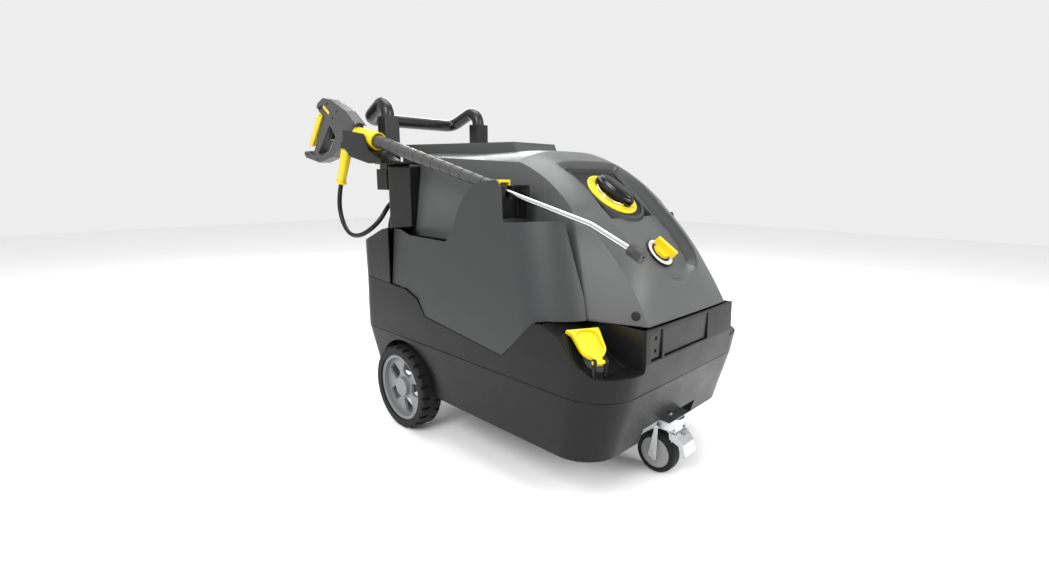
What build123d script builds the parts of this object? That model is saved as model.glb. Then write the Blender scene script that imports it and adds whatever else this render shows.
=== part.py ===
"""Compact hot-water high-pressure washer on two rear wheels and one front caster.

Row frame: +X points forward to the caster, +Y to the machine's left, +Z up. The origin is on
the floor below the middle of the machine. All lengths are millimetres.
"""

from build123d import *
from math import cos, pi, radians, sin, tan
import os

os.makedirs("parts", exist_ok=True)

# ---------------------------------------------------------------- driving dimensions
# Plastic body
REAR_X = -248.0          # rear face of the chassis
FRONT_X = 648.0          # front face of the chassis
HALF_WIDTH = 302.0       # chassis, at its seam
FLOOR_Z = 118.0          # underside of the chassis
SEAM_Z = 256.0           # seam between the lower and the upper chassis shell
DECK_Z = 392.0           # lower edge of the bonnet
REAR_DECK_Z = 408.0      # upper edge of the chassis at the back
TOP_Z = 768.0            # top of the burner cover
WALL = 4.0               # moulded wall
GAP = 1.0                # gap at a parting line

# Rear wheels
WHEEL_X = -39.0
WHEEL_R = 115.0
RIM_R = 92.0
WHEEL_WIDTH = 62.0
WHEEL_OUT_Y = 322.0
AXLE_R = 10.0
ARCH_R = 129.0
ARCH_DEPTH = 74.0

# Front caster
CASTER_X = 612.0
CASTER_Y = -10.0
CASTER_TRAIL = 26.0
CASTER_R = 50.0
CASTER_WIDTH = 32.0

# Lance, along the machine's near side
LANCE_Y = -245.0
LANCE_TILT = 13.4        # degrees below the horizontal
LANCE_START = (-230.0, 778.5)
NOZZLE_TILT = 23.0

# Push handle
HANDLE_X = -271.0
HANDLE_LEG_Y = 173.0
HANDLE_TOP_Z = 901.0
HANDLE_BAR_X = -400.0
HANDLE_BAR_Z = 852.0
HANDLE_TUBE_R = 19.0

# High-pressure hose
HOSE_D = 14.0
COIL_CENTRE = (-331.0, 4.0, 500.0)
COIL_R = 132.0           # mean radius of the coiled rest of the hose
COIL_LAYERS = 4
COIL_COLUMNS = 3
PORT_Z = 352.0           # height of the hose, water and cable entries in the rear wall
HOSE_PORT_Y = 160.0
WATER_PORT_Y = -170.0
CABLE_PORT_Y = 40.0


def save(piece, name):
    """Labels a finished sub-part and writes its STEP."""
    piece.part.label = name
    export_step(piece.part, f"parts/{name}.step")


def on_side(y):
    """Plane of the machine's side view at this y: local x is X, local y is Z."""
    return Plane.XZ.offset(-y)


def prism(points, y_low, y_high):
    """Solid with a side-view outline of (X, Z) points between two y values."""
    with BuildPart() as block:
        with BuildSketch(on_side(y_high)):
            Polygon(*points)
        extrude(amount=y_high - y_low)
    return block.part


def brick(x_low, x_high, y_low, y_high, z_low, z_high):
    """Plain box between two corners."""
    with BuildPart() as block:
        with Locations((x_low, y_low, z_low)):
            Box(x_high - x_low, y_high - y_low, z_high - z_low, align=(Align.MIN,) * 3)
    return block.part


def rod(start, end, radius, end_radius=None):
    """Straight round bar or cone between two points."""
    axis = Vector(*end) - Vector(*start)
    with BuildPart() as bar:
        with BuildSketch(Plane(origin=start, z_dir=axis)):
            Circle(radius)
        if end_radius is None:
            extrude(amount=axis.length)
        else:
            with BuildSketch(Plane(origin=end, z_dir=axis)):
                Circle(end_radius)
            loft()
    return bar.part


# ---------------------------------------------------------------- body envelope
# Plan outlines of the lower body from the bottom up:
# z, rear x, front x, half width, rear corner radius, front corner radius
BODY_LEVELS = (
    (FLOOR_Z, -192.0, 602.0, 294.0, 45.0, 85.0),
    (SEAM_Z, REAR_X, 638.0, HALF_WIDTH, 50.0, 98.0),
    (322.0, REAR_X, FRONT_X, HALF_WIDTH, 50.0, 100.0),
    (REAR_DECK_Z, REAR_X, FRONT_X - 4.0, HALF_WIDTH - 2.0, 50.0, 100.0),
)


def body_envelope(inset=0.0, raised=0.0):
    """Lower body as one solid, drawn in by a wall thickness where that is asked for."""
    with BuildPart() as envelope:
        for z, rear, front, half, rear_r, front_r in BODY_LEVELS:
            level = z + raised if z == FLOOR_Z else z
            with BuildSketch(Plane.XY.offset(level)) as plan:
                with Locations(((rear + front) / 2, 0)):
                    Rectangle(front - rear - 2 * inset, 2 * (half - inset))
                fillet(plan.vertices().group_by(Axis.X)[-1], front_r - inset)
                fillet(plan.vertices().group_by(Axis.X)[0], rear_r - inset)
        loft(ruled=True)
    return envelope.part


def wheel_wells(extra=0.0):
    """Space of the two wheel arches and of the cross tunnel for the axle."""
    well_y = HALF_WIDTH + 10.0
    with BuildPart() as wells:
        for side in (-1, 1):
            inner = HALF_WIDTH - ARCH_DEPTH + 8.0 - extra
            with Locations(Location((WHEEL_X, side * (inner + well_y) / 2, WHEEL_R), (90, 0, 0))):
                Cylinder(ARCH_R + extra, well_y - inner)
        with Locations(Location((WHEEL_X, 0, WHEEL_R), (90, 0, 0))):
            Cylinder(28.0 + extra, 2 * well_y)
    return wells.part


outer_body = body_envelope()
inner_body = body_envelope(inset=WALL, raised=WALL)
outer_wells = wheel_wells()
inner_wells = wheel_wells(extra=WALL)

# Upper edge of the chassis in side view, from the back to the front
EDGE = (
    (REAR_X - 20.0, REAR_DECK_Z),
    (-92.0, 395.0),
    (-20.0, 390.0),
    (30.0, 373.0),
    (66.0, 332.0),
    (355.0, 299.0),
    (443.0, 388.0),
    (466.0, DECK_Z),
    (FRONT_X + 20.0, DECK_Z),
)


def above_edge(lift):
    """Everything above the chassis's upper edge, raised by this much."""
    outline = [(x, z + lift) for x, z in EDGE]
    return prism(outline + [(FRONT_X + 20.0, 900.0), (REAR_X - 20.0, 900.0)], -400.0, 400.0)


# Side-view outline of the filler bay in each front corner
BAY_OUTLINE = (
    (466.0, DECK_Z + 30.0),
    (466.0, DECK_Z - 1.0),
    (511.0, 376.0),
    (529.0, 357.0),
    (548.0, 338.0),
    (568.0, 322.0),
    (600.0, 306.0),
    (690.0, 306.0),
    (690.0, DECK_Z + 30.0),
)
BAY_IN_Y = 190.0
NECK_AT = (566.0, 248.0)
NECK_R = 24.0


def bay_space(side, extra=0.0):
    """Hollow of one filler bay."""
    outline = [(x, z - extra) if z < DECK_Z else (x, z) for x, z in BAY_OUTLINE]
    near, far = BAY_IN_Y - extra, HALF_WIDTH + 20.0
    return prism(outline, near, far) if side > 0 else prism(outline, -far, -near)


# ---------------------------------------------------------------- chassis
CASTER_ARCH_HALF = 118.0
with BuildPart() as base_room:
    add(inner_body)
    add(inner_wells, mode=Mode.SUBTRACT)
    # Raised floor over the caster
    with Locations((CASTER_X - 30.0, CASTER_Y, FLOOR_Z)):
        Box(220.0, 2 * CASTER_ARCH_HALF, 76.0, mode=Mode.SUBTRACT)

with BuildPart() as chassis_base:
    add(outer_body)
    add(outer_wells, mode=Mode.SUBTRACT)
    add(base_room.part, mode=Mode.SUBTRACT)
    with Locations((CASTER_X - 30.0, CASTER_Y, FLOOR_Z)):
        Box(212.0, 2 * CASTER_ARCH_HALF - 8.0, 68.0, mode=Mode.SUBTRACT)
    with Locations((REAR_X + 400.0, 0, SEAM_Z - GAP / 2)):
        Box(1200.0, 800.0, 400.0, align=(Align.CENTER, Align.CENTER, Align.MIN), mode=Mode.SUBTRACT)
save(chassis_base, "chassis_base")

# Recess for the front panel and the small service panel
PANEL_Y = (-122.0, 66.0)
SERVICE_Y = (-172.0, -130.0)
PANEL_Z = (326.0, 386.0)
with BuildPart() as chassis_upper:
    add(outer_body)
    add(inner_body, mode=Mode.SUBTRACT)
    with Locations((REAR_X + 400.0, 0, SEAM_Z + GAP / 2)):
        Box(1200.0, 800.0, 400.0, align=(Align.CENTER, Align.CENTER, Align.MAX), mode=Mode.SUBTRACT)
    add(above_edge(0.0), mode=Mode.SUBTRACT)
    for side in (-1, 1):
        add(bay_space(side), mode=Mode.SUBTRACT)
    for y_low, y_high in (PANEL_Y, SERVICE_Y):
        with Locations((FRONT_X - 10.0, (y_low + y_high) / 2, sum(PANEL_Z) / 2)):
            Box(60.0, y_high - y_low, PANEL_Z[1] - PANEL_Z[0], mode=Mode.SUBTRACT)
    # Bores for the hose outlet, the water inlet and the cable gland in the rear wall
    for y, radius in ((HOSE_PORT_Y, 12.0), (WATER_PORT_Y, 14.0), (CABLE_PORT_Y, 10.0)):
        with Locations(Location((REAR_X, y, PORT_Z), (0, 90, 0))):
            Cylinder(radius, 40.0, mode=Mode.SUBTRACT)
save(chassis_upper, "chassis_upper")

for name, (y_low, y_high) in (("front_plate", PANEL_Y), ("service_panel", SERVICE_Y)):
    with BuildPart() as plate:
        middle = (y_low + y_high) / 2
        with Locations((FRONT_X - 7.0, middle, sum(PANEL_Z) / 2)):
            Box(5.0, y_high - y_low - 1.0, PANEL_Z[1] - PANEL_Z[0] - 1.0)
        if name == "service_panel":
            with Locations(*((FRONT_X - 7.0, middle, z) for z in (344.0, 370.0))):
                Cylinder(4.0, 20.0, rotation=(0, 90, 0), mode=Mode.SUBTRACT)
    save(plate, name)

# ---------------------------------------------------------------- filler bays, necks and chutes
CHUTE_TOP = Vector(532.0, -240.0, 385.0)
CHUTE_ACROSS = Vector(0.45, 0.893, 0.0).normalized()
CHUTE_DOWN = Vector(0.76, -0.383, -0.525).normalized()
CHUTE_LENGTH = 76.0
CHUTE_WIDTH = 62.0
CHUTE_PIVOT = CHUTE_TOP + CHUTE_DOWN * (CHUTE_LENGTH + 12.0)


def chute_solid():
    """Fold-out filler chute: a dished plate that narrows to a neck with a cross bar."""
    face = Plane(origin=CHUTE_TOP, x_dir=CHUTE_ACROSS, z_dir=CHUTE_ACROSS.cross(CHUTE_DOWN) * -1)
    down = -1 if face.y_dir.dot(CHUTE_DOWN) < 0 else 1
    half, length = CHUTE_WIDTH / 2, CHUTE_LENGTH
    with BuildPart() as chute:
        with BuildSketch(face):
            with BuildLine():
                Polyline((-half - 9, 0), (-half, down * 12), (-half + 4, down * (length - 24)))
                Spline((-half + 4, down * (length - 24)), (-half + 14, down * (length - 6)), (-9, down * length))
                Polyline((-9, down * length), (-8, down * (length + 14)), (8, down * (length + 14)),
                         (9, down * length))
                Spline((9, down * length), (half - 14, down * (length - 6)), (half - 4, down * (length - 24)))
                Polyline((half - 4, down * (length - 24)), (half, down * 12), (half, 0), (-half - 9, 0))
            make_face()
        extrude(amount=-9.0)
        with BuildSketch(face):
            with Locations((0, down * (length - 8) / 2)):
                RectangleRounded(CHUTE_WIDTH - 16, length - 16, 16.0)
        extrude(amount=-6.0, mode=Mode.SUBTRACT)
    with BuildPart() as hinged:
        add(chute.part)
        add(rod(CHUTE_PIVOT - CHUTE_ACROSS * 16, CHUTE_PIVOT + CHUTE_ACROSS * 16, 4.0))
    return hinged.part


def bay_liner():
    """Moulded tray of a filler bay with a hole for the filler neck and two pivot eyes."""
    with BuildPart() as liner:
        add(bay_space(-1, extra=3.0))
        add(bay_space(-1), mode=Mode.SUBTRACT)
        add(body_envelope(inset=WALL + 0.3, raised=WALL), mode=Mode.INTERSECT)
        add(brick(460.0, 700.0, -330.0, -150.0, 200.0, DECK_Z - 1.0), mode=Mode.INTERSECT)
        with Locations((NECK_AT[0], -NECK_AT[1], 330.0)):
            Cylinder(NECK_R + 1.0, 120.0, mode=Mode.SUBTRACT)
    return liner.part


def chute_bearing():
    """Black block at the outer end of a bay that carries the chute's pivot bar."""
    across = CHUTE_ACROSS
    with BuildPart() as block:
        for sign in (-1, 1):
            start = CHUTE_PIVOT + across * (sign * 9.5)
            end = CHUTE_PIVOT + across * (sign * 15.5)
            add(rod(start, end, 7.0))
            foot = Vector((start.X + end.X) / 2, (start.Y + end.Y) / 2, (CHUTE_PIVOT.Z + 306.0) / 2)
            with Locations(foot):
                Box(6.0, 5.0, CHUTE_PIVOT.Z - 306.0)
        add(rod(CHUTE_PIVOT - across * 40, CHUTE_PIVOT + across * 40, 4.08), mode=Mode.SUBTRACT)
    return block.part


def both_sides(piece):
    """A piece and its mirror image on the other side of the machine, as one sub-part."""
    with BuildPart() as pair:
        add(piece)
        add(mirror(piece, about=Plane.XZ))
    return pair


liner_part = bay_liner()
bearing_part = chute_bearing()
chute_part = chute_solid()
save(both_sides(liner_part), "filler_bays")
save(both_sides(bearing_part), "chute_bearings")
for side_name, flip in (("right", False), ("left", True)):
    with BuildPart() as chute:
        add(mirror(chute_part, about=Plane.XZ) if flip else chute_part)
    save(chute, f"filler_chute_{side_name}")


# ---------------------------------------------------------------- bonnet
# Ridge of the bonnet in side view: ends and mid points of its two arcs, front to back
RIDGE = (
    (636.0, DECK_Z + GAP),
    (557.0, 508.0),
    (456.0, 604.0),
    (370.0, 672.0),
    (275.0, 714.0),
)
BONNET_REAR_X = -119.0
FLANK_Y = 212.0          # half width of the bonnet at its lower edge
RIDGE_Y = 169.0          # half width at the ridge of its top
CORNER = (636.0, 167.0)  # front lower corner of the bonnet (X, Y)
WING_END = (523.0, 212.0)
PANEL_PLANE = Plane(origin=(413.0, 4.0, 645.0), x_dir=(0, 1, 0), z_dir=(0.616, 0, 0.788))
FLOW_PLANE = Plane(origin=(550.6, 0.0, 517.5), x_dir=(0, 1, 0), z_dir=(0.727, 0, 0.687))


def flank_plane(side, inset):
    """Leaning side face of the bonnet; its normal points outwards."""
    low = Vector(0, side * (FLANK_Y - inset), DECK_Z)
    high = Vector(0, side * (RIDGE_Y - inset), 722.0)
    normal = (high - low).cross(Vector(1, 0, 0)) * -side
    return Plane(origin=low, z_dir=normal if normal.Y * side > 0 else normal * -1)


def corner_plane(side, inset):
    """Leaning face between the side face and the front of the bonnet."""
    front = Vector(CORNER[0], side * CORNER[1], DECK_Z)
    back = Vector(WING_END[0], side * WING_END[1], DECK_Z)
    ridge = Vector(510.0, side * 172.0, 556.0)
    normal = (back - front).cross(ridge - front).normalized()
    if normal.Y * side < 0:
        normal = normal * -1
    return Plane(origin=front - normal * inset, z_dir=normal)


def bonnet_solid(inset=0.0):
    """Bonnet as one solid, drawn in by a wall thickness where that is asked for."""
    with BuildPart() as hood:
        with BuildSketch(on_side(FLANK_Y + 10)) as side_view:
            with BuildLine():
                ThreePointArc(*RIDGE[:3])
                ThreePointArc(*RIDGE[2:])
                Line(RIDGE[4], (BONNET_REAR_X, 734.0))
                Line((BONNET_REAR_X, 734.0), (BONNET_REAR_X, DECK_Z + GAP))
                Line((BONNET_REAR_X, DECK_Z + GAP), RIDGE[0])
            make_face()
            if inset:
                offset(amount=-inset, kind=Kind.INTERSECTION)
        extrude(amount=2 * FLANK_Y + 20)
        if inset > 0:
            with Locations(((BONNET_REAR_X + CORNER[0]) / 2, 0, DECK_Z + inset + 2)):
                Box(CORNER[0] - BONNET_REAR_X - 2 * inset - 12, 2 * FLANK_Y, 4 * inset)
        for side in (-1, 1):
            split(bisect_by=flank_plane(side, inset), keep=Keep.BOTTOM)
            split(bisect_by=corner_plane(side, inset), keep=Keep.BOTTOM)
    return hood.part


def panel_outline(plane, half_width, up, down, grow=0.0):
    """Tongue-shaped outline of the control panel: wide and square above, round below."""
    half = half_width + grow
    with BuildSketch(plane) as tongue:
        with BuildLine():
            Polyline((-half + 14, -down + 44), (-half, up + grow), (half, up + grow), (half - 14, -down + 44))
            ThreePointArc((half - 14, -down + 44), (0, -down - grow), (-half + 14, -down + 44))
        make_face()
        fillet(tongue.vertices().group_by(Axis.Y)[-1], 12.0)
    return tongue.sketch


PANEL_HALF = 92.0
PANEL_UP = 92.0
PANEL_DOWN = 88.0
FLUE_X = -30.0
FLUE_R = 50.0
bonnet_outer = bonnet_solid()
bonnet_inner = bonnet_solid(WALL)
with BuildPart() as panel_cut:
    add(panel_outline(PANEL_PLANE, PANEL_HALF, PANEL_UP, PANEL_DOWN, grow=0.8))
    extrude(amount=70.0, both=True)
with BuildPart() as bonnet:
    add(bonnet_outer)
    add(bonnet_inner, mode=Mode.SUBTRACT)
    add(panel_cut.part, mode=Mode.SUBTRACT)
    with Locations(FLOW_PLANE):
        Cylinder(16.0, 60.0, mode=Mode.SUBTRACT)
    with Locations((FLUE_X, 0, 730.0)):
        Cylinder(FLUE_R + 4.0, 60.0, mode=Mode.SUBTRACT)
save(bonnet, "bonnet")

# Control panel: a pod sunk into the bonnet above and standing proud of it below
POD_DEPTH = 44.0
with BuildPart() as control_panel:
    add(panel_outline(PANEL_PLANE, PANEL_HALF, PANEL_UP, PANEL_DOWN))
    extrude(amount=-POD_DEPTH)
    add(panel_outline(PANEL_PLANE, PANEL_HALF - 7, PANEL_UP - 7, PANEL_DOWN - 7))
    extrude(amount=-5.0, mode=Mode.SUBTRACT)
    with BuildSketch(PANEL_PLANE.offset(-POD_DEPTH)):
        with Locations((0, 8)):
            RectangleRounded(140.0, 120.0, 20.0)
    extrude(amount=POD_DEPTH - 12.0, mode=Mode.SUBTRACT)
    with Locations(PANEL_PLANE):
        Cylinder(12.0, 100.0, mode=Mode.SUBTRACT)
save(control_panel, "control_panel")


# ---------------------------------------------------------------- dial and flow control
with BuildPart() as dial_ring:
    with BuildSketch(PANEL_PLANE.offset(-4.8)):
        Circle(68.0)
        Circle(13.0, mode=Mode.SUBTRACT)
    extrude(amount=3.0)
save(dial_ring, "dial_ring")

with BuildPart() as dial_knob:
    with BuildSketch(PANEL_PLANE.offset(-1.3)):
        Circle(42.0)
    extrude(amount=8.0, taper=4.0)
    with BuildSketch(PANEL_PLANE.offset(6.0)):
        SlotOverall(106.0, 56.0, rotation=70.0)
    extrude(amount=22.0, taper=9.0)
    with BuildSketch(PANEL_PLANE.offset(-30.0)):
        Circle(5.0)
    extrude(amount=30.0)
save(dial_knob, "dial_knob")

with BuildPart() as flow_plate:
    with BuildSketch(FLOW_PLANE.offset(0.6)):
        Circle(35.0)
        Circle(14.0, mode=Mode.SUBTRACT)
    extrude(amount=2.5)
save(flow_plate, "flow_plate")

with BuildPart() as flow_knob:
    with BuildSketch(FLOW_PLANE.offset(3.8)):
        Circle(20.0)
    extrude(amount=9.0, taper=3.0)
    with BuildSketch(FLOW_PLANE.offset(12.0)):
        SlotOverall(58.0, 13.0, rotation=-62.0)
    extrude(amount=17.0, taper=4.0)
    with BuildSketch(FLOW_PLANE.offset(-24.0)):
        Circle(6.0)
    extrude(amount=30.0)
save(flow_knob, "flow_knob")

# ---------------------------------------------------------------- side panels
# Plan outline of a side panel at two heights: z, half width, start of the curved front,
# and how far the front curves round (degrees)
WING_LEVELS = (
    (290.0, 304.0, 425.0, 79.0),
    (690.0, 269.0, 326.0, 49.0),
)
WING_BEND_R = 129.0
WING_REAR_X = -90.0
WING_OUTLINE = (
    (-90.0, 396.0),
    (-20.0, 391.0),
    (31.0, 374.0),
    (67.0, 333.0),
    (355.0, 300.0),
    (443.0, 389.0),
    (466.0, DECK_Z + GAP),
    (540.0, DECK_Z + GAP),
    (540.0, 600.0),
    (330.0, 586.0),
    (318.0, 662.0),
    (300.0, 675.0),
    (232.0, 668.0),
    (184.0, 622.0),
    (160.0, 556.0),
    (136.0, 527.0),
    (-22.0, 531.0),
    (-60.0, 542.0),
    (-90.0, 542.0),
)
# Rounding of the outline's corners on the curved upper edge: corner (X, Z) and radius
WING_ROUNDING = (
    ((330.0, 586.0), 10.0),
    ((318.0, 662.0), 7.0),
    ((232.0, 668.0), 60.0),
    ((184.0, 622.0), 90.0),
    ((160.0, 556.0), 16.0),
    ((136.0, 527.0), 10.0),
    ((-60.0, 542.0), 8.0),
)
with BuildPart() as wing_side:
    with BuildSketch(on_side(-100.0)) as wing_sketch:
        Polygon(*WING_OUTLINE)
        for (corner_x, corner_z), radius in WING_ROUNDING:
            fillet(wing_sketch.vertices().sort_by_distance((corner_x, corner_z, 0))[0], radius)
    extrude(amount=300.0)
with BuildPart() as wing_wall:
    for z, half, bend_x, bend in WING_LEVELS:
        centre = (bend_x, WING_BEND_R - half)
        inner_r = WING_BEND_R - WALL
        end = (cos(radians(bend - 90)), sin(radians(bend - 90)))
        outer_end = (centre[0] + WING_BEND_R * end[0], centre[1] + WING_BEND_R * end[1])
        inner_end = (centre[0] + inner_r * end[0], centre[1] + inner_r * end[1])
        with BuildSketch(Plane.XY.offset(z)):
            with BuildLine():
                Line((WING_REAR_X, -half), (bend_x, -half))
                CenterArc(centre, WING_BEND_R, -90, bend)
                Line(outer_end, inner_end)
                CenterArc(centre, inner_r, bend - 90, -bend)
                Line((bend_x, WALL - half), (WING_REAR_X, WALL - half))
                Line((WING_REAR_X, WALL - half), (WING_REAR_X, -half))
            make_face()
    loft(ruled=True)
    add(wing_side.part, mode=Mode.INTERSECT)
    # Keeps the front edge clear of the bonnet
    add(bonnet_solid(-1.5), mode=Mode.SUBTRACT)

# Open trays of the two storage pockets behind the panel: x, y, z ranges of their inside
POCKETS = {
    "rear": (-84.0, 142.0, -275.0, -216.0, 440.0, 522.0),
    "front": (340.0, 400.0, -258.0, -214.0, 470.0, 580.0),
}
TRAY_WALL = 2.5


def tray(x_low, x_high, y_low, y_high, z_low, z_high):
    """Open tray with this inside."""
    wall = TRAY_WALL
    with BuildPart() as box:
        add(brick(x_low - wall, x_high + wall, y_low - wall, y_high + wall, z_low - wall, z_high))
        add(brick(x_low, x_high, y_low, y_high, z_low, z_high + 1), mode=Mode.SUBTRACT)
    return box.part


# Cradle in which the lance lies, behind the high part of the panel
CRADLE_X = (270.0, 318.0)
lance_run = Vector(cos(radians(LANCE_TILT)), 0, -sin(radians(LANCE_TILT)))
lance_start = Vector(LANCE_START[0], LANCE_Y, LANCE_START[1])


def on_lance(distance):
    """Point on the lance's axis, this far in front of its rear end."""
    return lance_start + lance_run * distance


def lance_plane(distance):
    """Plane across the lance at this distance from its rear end."""
    return Plane(origin=on_lance(distance), x_dir=(0, 1, 0), z_dir=lance_run)


SLOT_R = 12.4
with BuildPart() as lance_cradle:
    add(brick(*CRADLE_X, -264.0, -214.0, 592.0, 662.0))
    add(brick(306.0, 350.0, -220.0, -214.0, 592.0, 664.0))
    add(rod(on_lance(380.0), on_lance(720.0), SLOT_R), mode=Mode.SUBTRACT)
    slot_low = on_lance(560.0)
    add(brick(260.0, 330.0, LANCE_Y - SLOT_R, LANCE_Y + SLOT_R, slot_low.Z, 700.0), mode=Mode.SUBTRACT)

for side_name, flip in (("right", False), ("left", True)):
    with BuildPart() as side_panel:
        add(mirror(wing_wall.part, about=Plane.XZ) if flip else wing_wall.part)
    save(side_panel, f"side_panel_{side_name}")
with BuildPart() as trays:
    for limits in POCKETS.values():
        add(tray(*limits))
save(both_sides(trays.part), "pocket_trays")
save(lance_cradle, "lance_cradle")
with BuildPart() as lance_latch:
    add(brick(282.0, 304.0, -262.0, -228.0, 669.0, 675.0))
    for y in (-262.0, -232.0):
        add(brick(282.0, 304.0, y, y + 4.0, 662.5, 669.5))
save(lance_latch, "lance_latch")

# ---------------------------------------------------------------- rear of the body
HOUSING_Y = 206.0
HOUSING_TOP = 712.0
LEG_DEPTH = 40.0         # legs of the push handle, along X
LEG_WIDTH = 48.0         # and along Y
with BuildPart() as rear_housing:
    with BuildSketch(Plane.XY.offset(REAR_DECK_Z + GAP)) as plan:
        with Locations(((REAR_X + BONNET_REAR_X - GAP) / 2, 0)):
            Rectangle(BONNET_REAR_X - GAP - REAR_X, 2 * HOUSING_Y)
        fillet(plan.vertices().group_by(Axis.X)[0], 22.0)
    extrude(amount=HOUSING_TOP - REAR_DECK_Z - GAP)
    fillet(rear_housing.faces().sort_by(Axis.Z)[-1].edges(), 10.0)
    with BuildSketch(Plane.XY.offset(REAR_DECK_Z + GAP)):
        with Locations(((REAR_X + BONNET_REAR_X - GAP) / 2, 0)):
            Rectangle(BONNET_REAR_X - GAP - REAR_X - 2 * WALL, 2 * HOUSING_Y - 2 * WALL)
    extrude(amount=HOUSING_TOP - REAR_DECK_Z - GAP - WALL, mode=Mode.SUBTRACT)
    # Sockets that hold the legs of the push handle
    with Locations(*((HANDLE_X, side * HANDLE_LEG_Y, 670.0) for side in (-1, 1))):
        Box(56.0, 62.0, 60.0)
    with Locations(*((HANDLE_X, side * HANDLE_LEG_Y, 680.0) for side in (-1, 1))):
        Box(LEG_DEPTH, LEG_WIDTH, 60.0, mode=Mode.SUBTRACT)
save(rear_housing, "rear_housing")

# Shoulders that close the body between the rear housing and the side panels
SHOULDER_TOP = (
    (REAR_X + 2, REAR_DECK_Z + GAP),
    (-92.0, 396.5),
    (-92.0, 546.0),
    (-122.0, 540.0),
    (-222.0, 500.0),
)
SHOULDER_Y = FLANK_Y + GAP


def rear_plan(inset):
    """Tall block with the chassis's rounded rear corners, drawn in by a wall thickness."""
    half = HALF_WIDTH - 1.0 - inset
    with BuildPart() as block:
        with BuildSketch(Plane.XY.offset(REAR_DECK_Z - 30.0)) as plan:
            with Locations((REAR_X + 200.0, 0)):
                Rectangle(396.0 - 2 * inset, 2 * half)
            fillet(plan.vertices().group_by(Axis.X)[0], 48.0 - inset)
        extrude(amount=200.0)
    return block.part


with BuildPart() as shoulder_room:
    add(prism([(x + 6 if x < -200 else x + 1, z - WALL) for x, z in SHOULDER_TOP],
              SHOULDER_Y + WALL, HALF_WIDTH - 1.0 - WALL))
    add(rear_plan(WALL), mode=Mode.INTERSECT)
with BuildPart() as shoulder:
    add(prism(SHOULDER_TOP, SHOULDER_Y, HALF_WIDTH - 1.0))
    add(rear_plan(0.0), mode=Mode.INTERSECT)
    add(shoulder_room.part, mode=Mode.SUBTRACT)
save(both_sides(shoulder.part), "rear_shoulders")

# ---------------------------------------------------------------- burner cover and flue
COVER_OUTLINE = (
    (-240.0, 700.0),
    (176.0, 700.0),
    (176.0, 738.0),
    (160.0, TOP_Z),
    (-236.0, TOP_Z + 2.0),
)
COVER_PLAN = ((-240.0, -150.0), (176.0, -74.0), (176.0, 74.0), (-240.0, 150.0))


def cover_solid(inset):
    """Burner cover as one solid: narrower to the front, drawn in by a wall thickness."""
    with BuildPart() as cover:
        with BuildSketch(Plane.XY.offset(690.0)):
            Polygon(*COVER_PLAN)
            if inset:
                offset(amount=-inset, kind=Kind.INTERSECTION)
        extrude(amount=100.0)
        add(prism([(x, z - inset) for x, z in COVER_OUTLINE], -200.0, 200.0), mode=Mode.INTERSECT)
    return cover.part


cover_outer = cover_solid(0.0)
cover_inner = cover_solid(WALL)
above_bonnet = bonnet_solid(-GAP)
with BuildPart() as burner_cover:
    add(cover_outer)
    add(cover_inner, mode=Mode.SUBTRACT)
    add(above_bonnet, mode=Mode.SUBTRACT)
    add(brick(-260.0, BONNET_REAR_X, -200.0, 200.0, 600.0, HOUSING_TOP + GAP), mode=Mode.SUBTRACT)
    with Locations((FLUE_X, 0, TOP_Z)):
        Cylinder(FLUE_R + 1.0, 80.0, mode=Mode.SUBTRACT)
save(burner_cover, "burner_cover")

with BuildPart() as flue_duct:
    with Locations((FLUE_X, 0, 604.0)):
        Cylinder(FLUE_R, TOP_Z - 610.0, align=(Align.CENTER, Align.CENTER, Align.MIN))
        Cylinder(FLUE_R - 2.0, TOP_Z - 610.0, align=(Align.CENTER, Align.CENTER, Align.MIN),
                 mode=Mode.SUBTRACT)
save(flue_duct, "flue_duct")

# ---------------------------------------------------------------- push handle
leg_x, leg_y = HANDLE_X, HANDLE_LEG_Y
with BuildPart() as push_handle:
    for side in (-1, 1):
        with Locations((leg_x, side * leg_y, 650.5)):
            Box(LEG_DEPTH - 0.4, LEG_WIDTH - 0.4, 199.5, align=(Align.CENTER, Align.CENTER, Align.MIN))
    with BuildLine() as handle_path:
        FilletPolyline(
            (leg_x, -leg_y, 800.0), (leg_x - 4, -leg_y, HANDLE_TOP_Z + 3), (HANDLE_BAR_X, 10 - leg_y, HANDLE_BAR_Z),
            (HANDLE_BAR_X, leg_y - 10, HANDLE_BAR_Z), (leg_x - 4, leg_y, HANDLE_TOP_Z + 3), (leg_x, leg_y, 800.0),
            radius=(34.0, 32.0, 32.0, 34.0))
    with BuildSketch(Plane(origin=handle_path.line @ 0, z_dir=handle_path.line % 0)):
        Circle(HANDLE_TUBE_R)
    sweep()
save(push_handle, "push_handle")

# ---------------------------------------------------------------- lance and its rear holder
GRIP_END = 545.0
LANCE_BEND = 796.0
COLLAR_FROM, COLLAR_TO = -94.0, 20.0
TUBE_R = 5.5
nozzle_run = Vector(cos(radians(NOZZLE_TILT)), 0, -sin(radians(NOZZLE_TILT)))
bend_at = on_lance(LANCE_BEND)

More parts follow.
